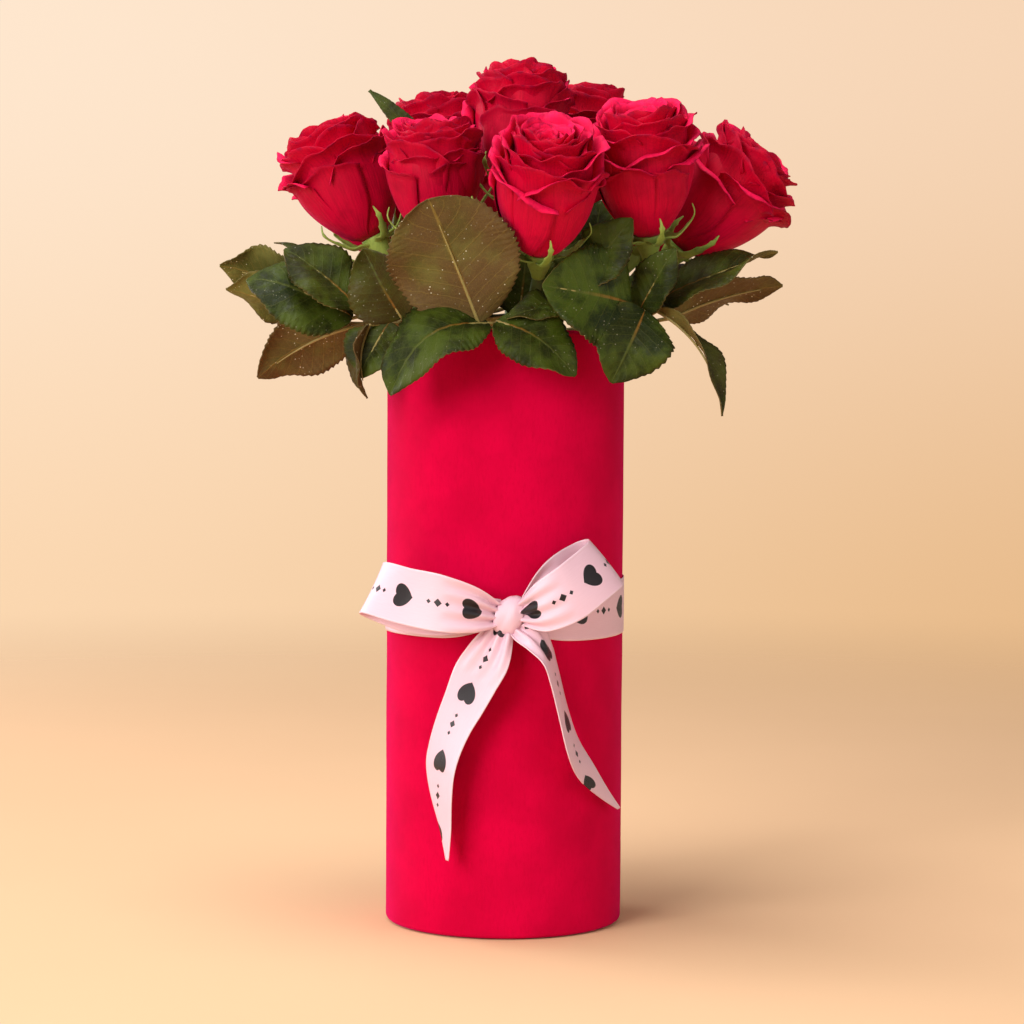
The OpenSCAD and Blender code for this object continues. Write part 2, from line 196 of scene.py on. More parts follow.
class Builder:
    """Gathers closed sheets and tubes, given in millimetres, into one mesh."""

    def __init__(self):
        self.points, self.faces, self.slots, self.uv, self.tone = [], [], [], [], []
        self.count = 0

    def add(self, points, faces, slot, uv, tone):
        """Points with their UV and tone, and faces with the material slot of each."""
        self.points.append(np.asarray(points, float).reshape(-1, 3))
        self.uv.append(np.asarray(uv, float).reshape(-1, 2))
        n = len(self.points[-1])
        self.tone.append(np.broadcast_to(np.asarray(tone, float).ravel(), (n,)))
        for f, s in zip(faces, slot):
            self.faces.append([self.count + k for k in f])
            self.slots.append(s)
        self.count += n

    def sheet(self, grid, thick, uv, slots=(0, 0), tone=0.0):
        """A closed sheet round a grid of points: slots[0] is used on the side its normals leave."""
        n, m = grid.shape[:2]
        normal = unit(np.cross(np.gradient(grid, axis=0), np.gradient(grid, axis=1)))
        half = normal * (np.broadcast_to(thick, (n, m))[..., None] / 2)
        points = np.stack([grid + half, grid - half])
        uvs = np.stack([uv, uv])
        tones = np.broadcast_to(tone, (n, m))
        index = np.arange(2 * n * m).reshape(2, n, m)
        faces, slot = [], []
        for side in (0, 1):
            a, b = index[side, :-1, :-1], index[side, 1:, :-1]
            c, d = index[side, 1:, 1:], index[side, :-1, 1:]
            corners = [a, b, c, d] if side == 0 else [a, d, c, b]
            quads = np.stack(corners, axis=-1).reshape(-1, 4)
            faces += quads.tolist()
            slot += [slots[side]] * len(quads)
        for edge in (index[:, :, 0], index[:, ::-1, -1], index[:, 0, ::-1], index[:, -1, :]):
            corners = [edge[0, :-1], edge[1, :-1], edge[1, 1:], edge[0, 1:]]
            quads = np.stack(corners, axis=-1)
            faces += quads.tolist()
            slot += [slots[1]] * len(quads)
        self.add(points, faces, slot, uvs, np.stack([tones, tones]))

    def tube(self, path, radii, slot, tone, sides=10):
        """A closed round tube along a path, each end drawn out to a low point."""
        path = np.asarray(path, float)
        n = len(path)
        radii = np.broadcast_to(radii, (n,))
        along = unit(np.gradient(path, axis=0))
        reference = [0.0, 0.0, 1.0] if abs(along[0][2]) < 0.9 else [1.0, 0.0, 0.0]
        angle = (np.arange(sides) / sides * 2 * np.pi)[:, None]
        rings = []
        for k in range(n):
            x = unit(np.cross(along[k], reference))
            y = np.cross(along[k], x)
            rings.append(path[k] + radii[k] * (np.cos(angle) * x + np.sin(angle) * y))
        first = path[:1] - along[:1] * radii[0] * CAP_RISE
        last = path[-1:] + along[-1:] * radii[-1] * CAP_RISE
        points = np.concatenate(rings + [first, last])
        faces = []
        for k in range(n - 1):
            for j in range(sides):
                a, b = k * sides + j, k * sides + (j + 1) % sides
                faces.append([a, b, b + sides, a + sides])
        low, high = n * sides, n * sides + 1
        for j in range(sides):
            a, b = j, (j + 1) % sides
            faces.append([low, b, a])
            faces.append([high, (n - 1) * sides + a, (n - 1) * sides + b])
        v = np.concatenate([np.repeat(np.linspace(0, 1, n), sides), [0, 1]])
        u = np.concatenate([np.tile(np.arange(sides) / sides, n), [0, 0]])
        self.add(points, faces, [slot] * len(faces), np.stack([v, u], axis=-1), tone)

    def revolve(self, profile, sides, push):
        """A closed profile of (radius, height) turned about Z. push(angle, r, z) is the radius."""
        p = np.asarray(profile, float)
        n = len(p)
        shape = (sides, n)
        a = np.broadcast_to((np.arange(sides) / sides * 2 * np.pi)[:, None], shape)
        z = np.broadcast_to(p[:, 1], shape)
        r = push(a, np.broadcast_to(p[:, 0], shape), z)
        points = np.stack([r * np.cos(a), r * np.sin(a), z], axis=-1)
        faces = []
        for i in range(sides):
            for j in range(n):
                k, l = (i + 1) % sides, (j + 1) % n
                faces.append([i * n + j, k * n + j, k * n + l, i * n + l])
        uv = np.stack([a / (2 * np.pi), np.broadcast_to(np.linspace(0, 1, n), shape)], axis=-1)
        self.add(points, faces, [0] * len(faces), uv, 0.0)

    def move(self, matrix):
        """Applies a 4x4 matrix to everything so far."""
        m = np.array(matrix)
        self.points = [p @ m[:3, :3].T + m[:3, 3] for p in self.points]

    def join(self, other):
        """Takes over everything in another builder."""
        for p, u, t in zip(other.points, other.uv, other.tone):
            self.points.append(p)
            self.uv.append(u)
            self.tone.append(t)
        self.faces += [[self.count + k for k in f] for f in other.faces]
        self.slots += other.slots
        self.count += other.count

    def make(self, name, materials, body, nodes):
        """A piece that rides on the body and stands for the CAD nodes, which it hides."""
        mesh = bpy.data.meshes.new(name)
        points = np.concatenate(self.points) * MM
        mesh.from_pydata(points.tolist(), [], self.faces)
        for m in materials:
            mesh.materials.append(m)
        mesh.polygons.foreach_set("material_index", self.slots)
        uv = np.concatenate(self.uv)
        corners = np.empty(len(mesh.loops), np.int32)
        mesh.loops.foreach_get("vertex_index", corners)
        mesh.uv_layers.new(name="UVMap").data.foreach_set("uv", uv[corners].ravel())
        tone = mesh.attributes.new("tone", "FLOAT", "POINT")
        tone.data.foreach_set("value", np.concatenate(self.tone))
        mesh.polygons.foreach_set("use_smooth", [True] * len(mesh.polygons))
        mesh.update()
        obj = bpy.data.objects.new(name, mesh)
        scene.collection.objects.link(obj)
        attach(obj, body)
        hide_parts(*nodes)
        return obj


# ---- Materials ----


class Graph:
    """A material with short names for the nodes used here."""

    def __init__(self, name, roughness, **values):
        self.mat = bpy.data.materials.new(name)
        self.mat.use_nodes = True
        self.tree = self.mat.node_tree
        self.bsdf = self.tree.nodes["Principled BSDF"]
        self.set("Roughness", roughness)
        for key, value in values.items():
            self.set(key.replace("_", " "), value)

    def set(self, name, value):
        """Gives an input of the shader a value or another node's output."""
        self.plug(self.bsdf.inputs[name], value)

    def plug(self, socket, value):
        if isinstance(value, bpy.types.NodeSocket):
            self.tree.links.new(value, socket)
        elif isinstance(value, tuple) and len(value) == 3 and socket.type == "RGBA":
            socket.default_value = (*value, 1)
        else:
            socket.default_value = value

    def node(self, kind, **inputs):
        n = self.tree.nodes.new(kind)
        for key, value in inputs.items():
            self.plug(n.inputs[key.replace("_", " ")], value)
        return n

    def math(self, operation, a, b=0.0):
        n = self.tree.nodes.new("ShaderNodeMath")
        n.operation = operation
        self.plug(n.inputs[0], a)
        self.plug(n.inputs[1], b)
        return n.outputs[0]

    def add(self, a, b):
        return self.math("ADD", a, b)

    def minus(self, a, b):
        return self.math("SUBTRACT", a, b)

    def times(self, a, b):
        return self.math("MULTIPLY", a, b)

    def size(self, a):
        return self.math("ABSOLUTE", a)

    def ramp(self, value, low, high, out_low=0.0, out_high=1.0):
        """A smooth step of the value from low to high."""
        n = self.tree.nodes.new("ShaderNodeMapRange")
        n.interpolation_type = "SMOOTHSTEP"
        for k, x in enumerate((value, low, high, out_low, out_high)):
            self.plug(n.inputs[k], x)
        return n.outputs[0]

    def mix(self, factor, a, b):
        n = self.tree.nodes.new("ShaderNodeMix")
        n.data_type = "RGBA"
        self.plug(n.inputs[0], factor)
        self.plug(n.inputs[6], a)
        self.plug(n.inputs[7], b)
        return n.outputs[2]

    def object_mm(self):
        """Where the surface is, in millimetres."""
        scaled = self.tree.nodes.new("ShaderNodeVectorMath")
        scaled.operation = "SCALE"
        scaled.inputs["Scale"].default_value = 1 / MM
        self.tree.links.new(self.node("ShaderNodeTexCoord").outputs["Object"], scaled.inputs[0])
        return scaled.outputs[0]

    def uv(self):
        n = self.node("ShaderNodeSeparateXYZ")
        self.tree.links.new(self.node("ShaderNodeTexCoord").outputs["UV"], n.inputs[0])
        return n.outputs[0], n.outputs[1]

    def stretched(self, vector, x, y, z):
        """The vector with each part multiplied, so that a pattern runs along the smaller ones."""
        n = self.node("ShaderNodeVectorMath")
        n.operation = "MULTIPLY"
        self.plug(n.inputs[0], vector)
        n.inputs[1].default_value = (x, y, z)
        return n.outputs[0]

    def noise(self, vector, scale, detail, roughness=0.55):
        n = self.node("ShaderNodeTexNoise", Vector=vector, Scale=scale)
        self.plug(n.inputs["Detail"], detail)
        self.plug(n.inputs["Roughness"], roughness)
        return n.outputs["Fac"]

    def voronoi(self, vector, scale, feature="F1"):
        n = self.node("ShaderNodeTexVoronoi", Vector=vector, Scale=scale)
        n.feature = feature
        return n.outputs["Distance"]

    def tone(self):
        """The value that each piece of mesh was given when it was built."""
        n = self.node("ShaderNodeAttribute")
        n.attribute_name = "tone"
        return n.outputs["Fac"]

    def combine(self, x, y, z=0.0):
        return self.node("ShaderNodeCombineXYZ", X=x, Y=y, Z=z).outputs[0]

    def bump(self, height, distance, strength):
        n = self.node("ShaderNodeBump", Height=height, Distance=distance, Strength=strength)
        self.set("Normal", n.outputs[0])


def velvet_material():
    """Red pile: clouds where it was stroked, a nap that runs upward, and a pink sheen."""
    sheen = dict(Sheen_Weight=0.42, Sheen_Roughness=0.35, Sheen_Tint=(1.0, 0.03, 0.5, 1))
    g = Graph("velvet", 0.85, **sheen)
    g.set("Specular IOR Level", 0.04)
    p = g.object_mm()
    cloud = g.noise(p, 0.035, 3)
    nap = g.noise(g.stretched(p, 1, 1, 0.3), 0.9, 4, 0.7)
    fibre = g.noise(p, 6, 2)
    base = g.mix(g.ramp(cloud, 0.3, 0.7), (0.5, 0.0, 0.031), (0.61, 0.0, 0.041))
    base = g.mix(g.times(g.ramp(nap, 0.45, 0.7), 0.3), base, (0.42, 0.0, 0.02))
    g.set("Base Color", g.mix(g.times(fibre, 0.15), base, (0.75, 0.0, 0.07)))
    g.set("Roughness", g.ramp(fibre, 0.2, 0.8, 0.75, 0.95))
    height = g.add(g.times(nap, 0.5), g.times(fibre, 0.5))
    g.bump(height, 0.0003, 0.6)
    return g.mat


PRINT_REPEAT = 34.0
HEART_SIZE = 4.6
# Diamonds of the print: place from the middle one as a share of a repeat, and half width
DIAMONDS = [(0.0, 1.9), (0.13, 1.1)]


def ribbon_material():
    """Satin with a woven edge and a print of hearts and diamonds. UV is in millimetres."""
    g = Graph("satin_ribbon", 0.36, Anisotropic=0.4)
    u, v = g.uv()
    cell = g.minus(g.math("FRACT", g.math("DIVIDE", u, PRINT_REPEAT)), 0.5)
    x = g.times(cell, PRINT_REPEAT / HEART_SIZE)
    y = g.math("DIVIDE", v, HEART_SIZE)
    x2, y2 = g.times(x, x), g.times(y, y)
    ring = g.minus(g.add(x2, y2), 1.0)
    cube = g.times(ring, g.times(ring, ring))
    x3 = g.times(x2, x)
    ink = g.math("LESS_THAN", g.minus(cube, g.times(x3, y2)), 0.0)
    side = g.size(g.minus(0.5, g.size(cell)))
    for offset, half_width in DIAMONDS:
        along = g.size(g.times(g.minus(side, offset), PRINT_REPEAT))
        diamond = g.math("LESS_THAN", g.add(along, g.size(v)), half_width)
        ink = g.math("MAXIMUM", ink, diamond)
    fine = g.noise(g.combine(g.times(u, 0.15), g.times(v, 3.0)), 1.0, 2)
    weave = g.node("ShaderNodeTexWave", Vector=g.combine(u, v), Scale=1.9, Distortion=0.3)
    weave.bands_direction = "Y"
    edge = g.ramp(g.size(v), RIBBON_W / 2 - 1, RIBBON_W / 2 - 0.5)
    satin = g.mix(fine, (0.76, 0.48, 0.58), (0.85, 0.58, 0.68))
    satin = g.mix(g.times(edge, 0.35), satin, (0.92, 0.72, 0.78))
    g.set("Base Color", g.mix(ink, satin, (0.008, 0.005, 0.008)))
    g.set("Roughness", g.ramp(fine, 0.2, 0.8, 0.3, 0.42))
    height = g.add(g.times(weave.outputs["Fac"], 0.25), g.times(edge, 0.6))
    g.bump(g.add(height, g.times(fine, 0.3)), 0.00012, 0.5)
    return g.mat


def petal_material(name, base, rim, dark, vein_strength):
    """UV x runs from the petal's foot to its rim, y across it. tone darkens older petals."""
    sheen = dict(Sheen_Weight=0.22, Sheen_Roughness=0.4, Sheen_Tint=(1.0, 0.04, 0.25, 1))
    g = Graph(name, 0.6, **sheen)
    g.set("Specular IOR Level", 0.1)
    u, v = g.uv()
    p = g.object_mm()
    drawn = g.combine(g.times(u, 2.2), g.times(v, 24.0), g.tone())
    streak = g.noise(drawn, 1.0, 4, 0.6)
    cloud = g.noise(p, 0.09, 3)
    # Foot to rim: on the inner face this is painted shade deep in the head and a painted highlight
    # on the lit rims
    body = g.mix(g.ramp(u, 0.25, 1.0), base, rim)
    body = g.mix(g.times(g.ramp(streak, 0.4, 0.8), vein_strength), body, dark)
    body = g.mix(g.times(g.ramp(cloud, 0.5, 0.75), 0.4), body, dark)
    edge = g.times(g.ramp(u, 0.95, 1.0), g.ramp(g.noise(p, 0.25, 2), 0.45, 0.65))
    body = g.mix(g.times(edge, 0.6), body, (0.16, 0.0, 0.025))
    g.set("Base Color", g.mix(g.times(g.tone(), 0.5), body, dark))
    g.set("Roughness", g.ramp(cloud, 0.3, 0.7, 0.5, 0.7))
    g.bump(g.add(streak, g.times(g.noise(p, 1.4, 3), 0.4)), 0.0006, 0.35)
    return g.mat


SIDE_VEINS = 9.0
VEIN_SLANT = 2.1


def leaf_material(name, dark, light, vein, brown, roughness, specks):
    """UV x runs from stalk to tip, y from -1 to 1 across. tone is how brown the leaf is."""
    g = Graph(name, roughness)
    g.set("Specular IOR Level", 0.14)
    u, v = g.uv()
    p = g.object_mm()
    across = g.size(v)
    rib = g.ramp(across, 0.015, 0.05, 1.0, 0.0)
    slanted = g.math("FRACT", g.minus(g.times(u, SIDE_VEINS), g.times(across, VEIN_SLANT)))
    side = g.ramp(g.size(g.minus(slanted, 0.5)), 0.02, 0.07, 1.0, 0.0)
    net = g.ramp(g.voronoi(p, 0.55, "DISTANCE_TO_EDGE"), 0.0, 0.09, 1.0, 0.0)
    cloud = g.noise(p, 0.07, 4)
    mottled = g.mix(g.ramp(cloud, 0.38, 0.62), dark, light)
    stain = g.times(g.tone(), g.ramp(g.noise(p, 0.05, 3), 0.2, 0.6))
    body = g.mix(stain, mottled, brown)
    body = g.mix(g.times(net, 0.16), body, vein)
    body = g.mix(g.times(side, 0.22), body, vein)
    midrib = g.mix(g.ramp(u, 0.1, 0.6), (0.3, 0.12, 0.02), vein)
    body = g.mix(g.times(rib, 0.6), body, midrib)
    rim = g.times(g.ramp(across, 0.9, 1.0), 0.35)
    body = g.mix(rim, body, brown)
    dots = g.ramp(g.voronoi(p, 0.42), 0.05, 0.16, 1.0, 0.0)
    patch = g.ramp(g.noise(p, 0.06, 2), 0.42, 0.56)
    body = g.mix(g.times(g.times(dots, patch), specks), body, (0.75, 0.7, 0.5))
    g.set("Base Color", body)
    g.set("Roughness", g.ramp(g.noise(p, 0.3, 3), 0.3, 0.7, roughness - 0.1, roughness + 0.12))
    height = g.add(g.times(side, 0.5), g.times(net, 0.3))
    g.bump(g.add(height, rib), 0.0005, 0.45)
    return g.mat


def plant_material(name, low, high, dark):
    """Green skin with darker streaks along the stem."""
    g = Graph(name, 0.5, IOR=1.4)
    p = g.object_mm()
    streak = g.noise(g.stretched(p, 1, 1, 0.15), 0.8, 4)
    body = g.mix(g.noise(p, 0.12, 3), low, high)
    g.set("Base Color", g.mix(g.times(g.ramp(streak, 0.5, 0.75), 0.5), body, dark))
    g.bump(streak, 0.0003, 0.4)
    return g.mat


def plain_material(name, low, high, scale, roughness, bump, stretch=(1, 1, 1), **values):
    """Coarse and fine grain between two colours."""
    g = Graph(name, roughness, **values)
    p = g.stretched(g.object_mm(), *stretch)
    coarse, fine = g.noise(p, scale, 4, 0.65), g.noise(p, scale * 9, 3)
    grain = g.add(g.times(coarse, 0.6), g.times(fine, 0.4))
    g.set("Base Color", g.mix(g.ramp(grain, 0.3, 0.7), low, high))
    g.set("Roughness", g.ramp(fine, 0.3, 0.7, roughness - 0.08, roughness + 0.08))
    g.bump(fine, bump, 0.6)
    return g.mat


def foam_material():
    """Green foam of small open cells."""
    g = Graph("floral_foam", 0.95)
    p = g.object_mm()
    cells = g.voronoi(p, 1.6)
    body = g.mix(g.ramp(cells, 0.1, 0.6), (0.02, 0.07, 0.03), (0.08, 0.2, 0.07))
    g.set("Base Color", g.mix(g.times(g.noise(p, 0.1, 3), 0.6), body, (0.04, 0.11, 0.05)))
    g.bump(cells, 0.0008, 0.8)
    return g.mat


velvet = velvet_material()
ribbon = ribbon_material()
# Inner face: its dark foot is painted shade deep in the head, its bright rim a painted highlight
# where the tops catch the light
petal_in = petal_material(
    "petal_inside",
    base=(0.3, 0.0, 0.01),
    rim=(0.9, 0.008, 0.085),
    dark=(0.42, 0.0, 0.02),
    vein_strength=0.35,
)
petal_out = petal_material(
    "petal_outside",
    base=(0.7, 0.0, 0.04),
    rim=(0.5, 0.0, 0.024),
    dark=(0.25, 0.0, 0.014),
    vein_strength=0.5,
)
leaf_top = leaf_material(
    "leaf_upper",
    dark=(0.009, 0.017, 0.001),
    light=(0.045, 0.07, 0.005),
    vein=(0.08, 0.095, 0.016),
    brown=(0.055, 0.03, 0.006),
    roughness=0.5,
    specks=0.25,
)
leaf_under = leaf_material(
    "leaf_underside",
    dark=(0.08, 0.08, 0.014),
    light=(0.145, 0.14, 0.032),
    vein=(0.25, 0.17, 0.035),
    brown=(0.105, 0.055, 0.02),
    roughness=0.62,
    specks=1.0,
)
green = plant_material("calyx_green", (0.2, 0.3, 0.04), (0.36, 0.46, 0.1), (0.1, 0.17, 0.03))
stem = plant_material("stem_green", (0.05, 0.1, 0.02), (0.12, 0.18, 0.04), (0.12, 0.05, 0.03))
card = plain_material(
    "cardboard",
    (0.36, 0.22, 0.11),
    (0.5, 0.34, 0.19),
    scale=0.25,
    roughness=0.9,
    bump=0.0002,
    stretch=(1, 1, 0.3),
)
# The lining's dark red is painted shade for the inside of the mouth under the leaves
lining = plain_material(
    "lining_with_painted_shade",
    (0.26, 0.004, 0.02),
    (0.36, 0.008, 0.03),
    scale=0.2,
    roughness=0.8,
    bump=0.0001,
)
plastic = plain_material(
    "liner_plastic",
    (0.5, 0.58, 0.55),
    (0.62, 0.7, 0.66),
    scale=0.05,
    roughness=0.3,
    bump=0.00005,
    Specular_IOR_Level=0.6,
)
foam = foam_material()
stalk = plant_material("leaf_stalk", (0.22, 0.2, 0.05), (0.34, 0.24, 0.08), (0.2, 0.08, 0.03))

node_materials = {
    "box_tube": card,
    "base_board": card,
    "base_cover": velvet,
    "inner_lining": lining,
    "liner_cup": plastic,
    "floral_foam": foam,
}
for number in range(1, len(ROSES) + 1):
    node_materials[f"rose_{number:02d}_stem"] = stem
for name, material in node_materials.items():
    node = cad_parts[name]
    node.data.materials.clear()
    node.data.materials.append(material)

# ---- Velvet cover ----


FOOT_STEP_R = 46
LIP_R = 1
# The seam is at the back: height of its overlap, and degrees over which that fades out
SEAM_HEADING = 90
SEAM_STEP, SEAM_FADE = 0.45, 9


def arc(cx, cz, r, start, end, n=6):
    """Points (radius, height) of an arc, with its ends in degrees."""
    t = np.radians(np.linspace(start, end, n + 1))
    return [(cx + r * math.cos(x), cz + r * math.sin(x)) for x in t]


def velvet_cover():
    """One skin: under the foot, up the wall, over the rim and down to the hem inside."""
    top, turn = BOX_H - CORNER_R, BOX_R - CORNER_R
    mouth, hem_z = BORE_R - VELVET, BOX_H - HEM_DEPTH
    wall = [(BOX_R, z) for z in np.linspace(CORNER_R, top, 56)[1:-1]]
    outside = [(COVER_R, 0), (FOOT_STEP_R, 0)] + arc(turn, CORNER_R, CORNER_R, -90, 0) + wall
    outside += arc(turn, top, CORNER_R, 0, 90)
    outside += arc(mouth + LIP_R, BOX_H - LIP_R, LIP_R, 90, 180, 4)
    hem = [(mouth, z) for z in np.linspace(BOX_H - 3, hem_z, 6)]
    inner_r = CORNER_R - VELVET
    back = [(BORE_R, hem_z), (BORE_R, BOX_H - VELVET)] + arc(turn, top, inner_r, 90, 0, 4)
    back += [(BOX_R - VELVET, z) for z in np.linspace(top - 5, CORNER_R + 5, 12)]
    back += arc(turn, CORNER_R, inner_r, 0, -90, 4) + [(FOOT_STEP_R, VELVET), (COVER_R, VELVET)]

    def push(a, r, z):
        """The overlap at the seam, which fades out, and slow ripples of the cloth on the wall."""
        seam = np.degrees((a - np.radians(SEAM_HEADING) + np.pi) % (2 * np.pi) - np.pi)
        edge = SEAM_STEP / (1 + np.exp(np.minimum(-seam * 6, 99)))
        step = edge * np.clip(1 - np.maximum(seam, 0) / SEAM_FADE, 0, 1)
        ripple = 0.1 * np.sin(3 * a + z / 31) * np.sin(z / 23 + 2 * np.sin(a))
        ripple = ripple + 0.05 * np.sin(9 * a + z / 9)
        return r + (r > BOX_R - 0.3) * (step + ripple)

    b = Builder()
    b.revolve((outside + hem + back)[::-1], 240, push)
    obj = b.make("velvet_cover", [velvet], "box", ["velvet_wrap"])


velvet_cover()

# ---- Ribbon ----

# Stations along each piece: (x, y, height from the knot), way the width runs, share of the width
LOOP_LEFT = [
    ((-2.8, -64, 0), (0.1, 0, 1), 0.42),
    ((-13, -71, 3), (0.05, 0, 1), 0.8),
    ((-28, -73, 6), (0.05, 0, 1), 1),
    ((-44, -66, 8.5), (0.2, 0, 1), 1),
    ((-57, -54, 11), (0.4, 0, 0.9), 1),
    ((-60, -46, 10), (0.42, 0, 0.9), 1),
    ((-55, -41, 7), (0.35, 0, 0.9), 1),
    ((-42, -48, 3), (0.15, 0, 1), 1),
    ((-25, -57, 1), (0.05, 0, 1), 0.85),
    ((-7, -60.5, 0), (0.1, 0, 1), 0.42),
]
LOOP_RIGHT = [
    ((7, -64, 1), (-0.2, 0, 1), 0.42),
    ((16, -71, 4), (-0.3, 0, 1), 0.85),
    ((28, -71, 10), (-0.45, 0, 0.9), 1),
    ((38, -63, 17), (-0.6, 0, 0.8), 1),
    ((45, -53, 22), (-0.62, 0, 0.78), 1),
    ((45, -45, 23), (-0.62, 0, 0.78), 1),
    ((39, -45, 21), (-0.6, 0, 0.8), 1),
    ((28, -54, 15), (-0.5, 0, 0.87), 1),
    ((17, -59, 8), (-0.3, 0, 1), 0.85),
    ((8.4, -60.5, 2), (-0.2, 0, 1), 0.42),
]
TAIL_LEFT = [
    ((-2, -63, -7), (1, -0.2, -0.3), 0.5),
    ((-7, -65, -18), (0.85, -0.45, -0.4), 0.85),
    ((-12.6, -63, -28), (0.75, -0.6, -0.35), 1),
    ((-18, -61, -40), (0.66, -0.7, -0.28), 1),
    ((-22.6, -59, -50), (0.6, -0.78, -0.2), 1),
    ((-26.5, -57.5, -61), (0.55, -0.82, -0.12), 1),
    ((-28.5, -57, -71), (0.5, -0.85, -0.08), 1),
    ((-28, -58, -83), (0.48, -0.87, -0.04), 0.8),
    ((-26, -60, -97), (0.46, -0.88, 0), 0.45),
    ((-25, -61, -111), (0.46, -0.88, 0), 0.1),
]
TAIL_RIGHT = [
    ((7.8, -63.4, -4.5), (0.8, 0.1, 0.6), 0.5),
    ((14, -64, -9), (0.42, 0.75, 0.45), 0.8),
    ((19.6, -63, -18), (0.2, 0.96, 0.15), 1),
    ((23, -61.5, -29), (0.16, 0.98, 0.08), 1),
    ((27, -60, -45), (0.16, 0.98, 0.08), 1),
    ((31.5, -57.5, -60), (0.22, 0.97, 0.1), 1),
    ((38, -50, -73), (0.4, 0.9, 0.15), 0.75),
    ((46, -39, -84), (0.45, 0.88, 0.15), 0.4),
    ((53, -30, -92), (0.5, 0.85, 0.15), 0.1),
]
STATION_STEPS = 10
# Pleats across the gathered ribbon, and how far its middle stands out, less in the cut part
PLEATS, PLEAT_DEPTH = 3.3, 1.5
CROWN, CROWN_OF_CUT = 0.5, 0.3


def strip(name, stations, start, nodes, cut_from=math.inf):
    """A ribbon piece through its stations, whose print begins at start.

    Before cut_from a narrow share is gathered in pleats, and after it the ribbon is cut on a slant.
    """
    n = STATION_STEPS
    centres = smooth([place for place, _, _ in stations], n) + [0, 0, RIBBON_Z]
    ways = unit(smooth([unit(way) for _, way, _ in stations], n))
    shares = smooth([[share] for _, _, share in stations], n)[:, 0]
    normal = unit(np.cross(np.gradient(centres, axis=0), ways))
    steps = np.linalg.norm(np.diff(centres, axis=0), axis=1)
    s = np.concatenate([[0], np.cumsum(steps)])
    w = np.linspace(-1, 1, 33)
    kept = np.clip(shares, 0, 1)
    cut = np.arange(len(centres)) >= cut_from * n
    depth = PLEAT_DEPTH * np.sqrt(np.clip(1 - np.where(cut, 1.0, kept) ** 2, 0, 1))
    pleat = depth[:, None] * np.sin(w * np.pi * PLEATS + 0.7)[None, :]
    crown = CROWN * (1 - w**2)[None, :] * np.where(cut, CROWN_OF_CUT, 1.0)[:, None]
    across = np.where(cut[:, None], 1 - (1 - w)[None, :] * kept[:, None], w[None, :])
    half = RIBBON_W / 2
    grid = (
        centres[:, None]
        + ways[:, None] * (w[None, :, None] * shares[:, None, None] * half)
        + normal[:, None] * (pleat + crown)[..., None]
    )
    uv = np.stack([np.broadcast_to((s + start)[:, None], across.shape), across * half], axis=-1)
    b = Builder()
    b.sheet(grid, RIBBON_T, uv)
    obj = b.make(name, [ribbon], "box", nodes)


strip("bow_left_loop", LOOP_LEFT, start=4, nodes=["bow_loop_left"])
strip("bow_right_loop", LOOP_RIGHT, start=11, nodes=["bow_loop_right"])
strip("bow_left_tail", TAIL_LEFT, start=20, nodes=["ribbon_tail_left"], cut_from=6)
strip("bow_right_tail", TAIL_RIGHT, start=2, nodes=["ribbon_tail_right"], cut_from=5)

BAND_GAP = 0.45
# Degrees to each side of the knot, and depth, of the puckers
PUCKER_ANGLE, PUCKER = 17, 0.8


def band_around():
    """The ribbon drawn tight round the box, a little puckered behind the knot."""
    a = np.radians(np.linspace(-90, 270, 241))
    w = np.linspace(-1, 1, 25)
    turned = (np.degrees(a) + 90) % 360
    near = np.exp(-((turned / PUCKER_ANGLE) ** 2)) + np.exp(-(((360 - turned) / PUCKER_ANGLE) ** 2))
    a, near = a[:, None], near[:, None]
    half = RIBBON_W / 2
    r = BOX_R + BAND_GAP + 0.15 * np.sin(7 * a) * w**2 + PUCKER * near * (1 + np.sin(w * 9))
    z = RIBBON_Z + w * half * (1 - 0.5 * near) + 0.6 * np.sin(2 * a)
    grid = np.stack([r * np.cos(a), r * np.sin(a), z], axis=-1)
    uv = np.stack([a * BOX_R + 0 * z, w * half + 0 * z], axis=-1)
    b = Builder()
    b.sheet(grid[:-1][::-1], RIBBON_T, uv[:-1][::-1])
    obj = b.make("ribbon_around", [ribbon], "box", ["ribbon_band"])


band_around()

KNOT_X, KNOT_Y = 2, -61.6


def knot():
    """The ribbon passed once over itself, drawn in by a soft crease that runs aslant."""
    turn = np.radians(np.linspace(-100, 262, 73))[:, None]
    w = np.linspace(-1, 1, 33)[None, :]
    pinch = 5.9 + 0.7 * np.cos(turn * 2 + 0.5)
    crease = 0.07 * np.tanh((w + 0.15 - 0.55 * np.sin(turn + 0.3)) * 6)
    folds = 1 + crease + 0.05 * np.sin(w * 5 + 0.6 + 0.9 * np.sin(turn))
    fall = 1 - 0.26 * np.abs(w) ** 3
    x = w * pinch + 0.9 * np.sin(turn)
    y = KNOT_Y - 5.2 * folds * fall * np.cos(turn)
    z = RIBBON_Z + 8.3 * folds * fall * np.sin(turn) + 0.12 * x
    grid = np.stack([x + KNOT_X, y, z], axis=-1)
    # Between the hearts of the print, so that it is plain
    uv = np.stack([turn * 0.9 + 8.5 + 0 * w, w * 12 + 0 * turn], axis=-1)
    b = Builder()
    b.sheet(grid, RIBBON_T, uv)
    obj = b.make("bow_knot", [ribbon], "box", ["ribbon_knot"])


knot()

# ---- Roses ----


# Each petal stands this far round from the one before it
GOLDEN_ANGLE = math.radians(137.5)
# Share of its length where a head is widest, and how fast it swells up to there
BULGE, SWELL_POWER = 0.62, 0.66
HEART_R = 1.5
PETAL_ROWS, PETAL_COLUMNS = 22, 25


def seat_matrix(rose):
    """Stands a head, with its seat at the origin and its axis along Z, in its place."""
    heading, tilt = math.radians(rose.heading), math.radians(rose.tilt)
    place = Matrix.Translation(Vector(rose.seat) + Vector(RIM))
    return place @ Matrix.Rotation(heading, 4, "Z") @ Matrix.Rotation(tilt, 4, "Y")


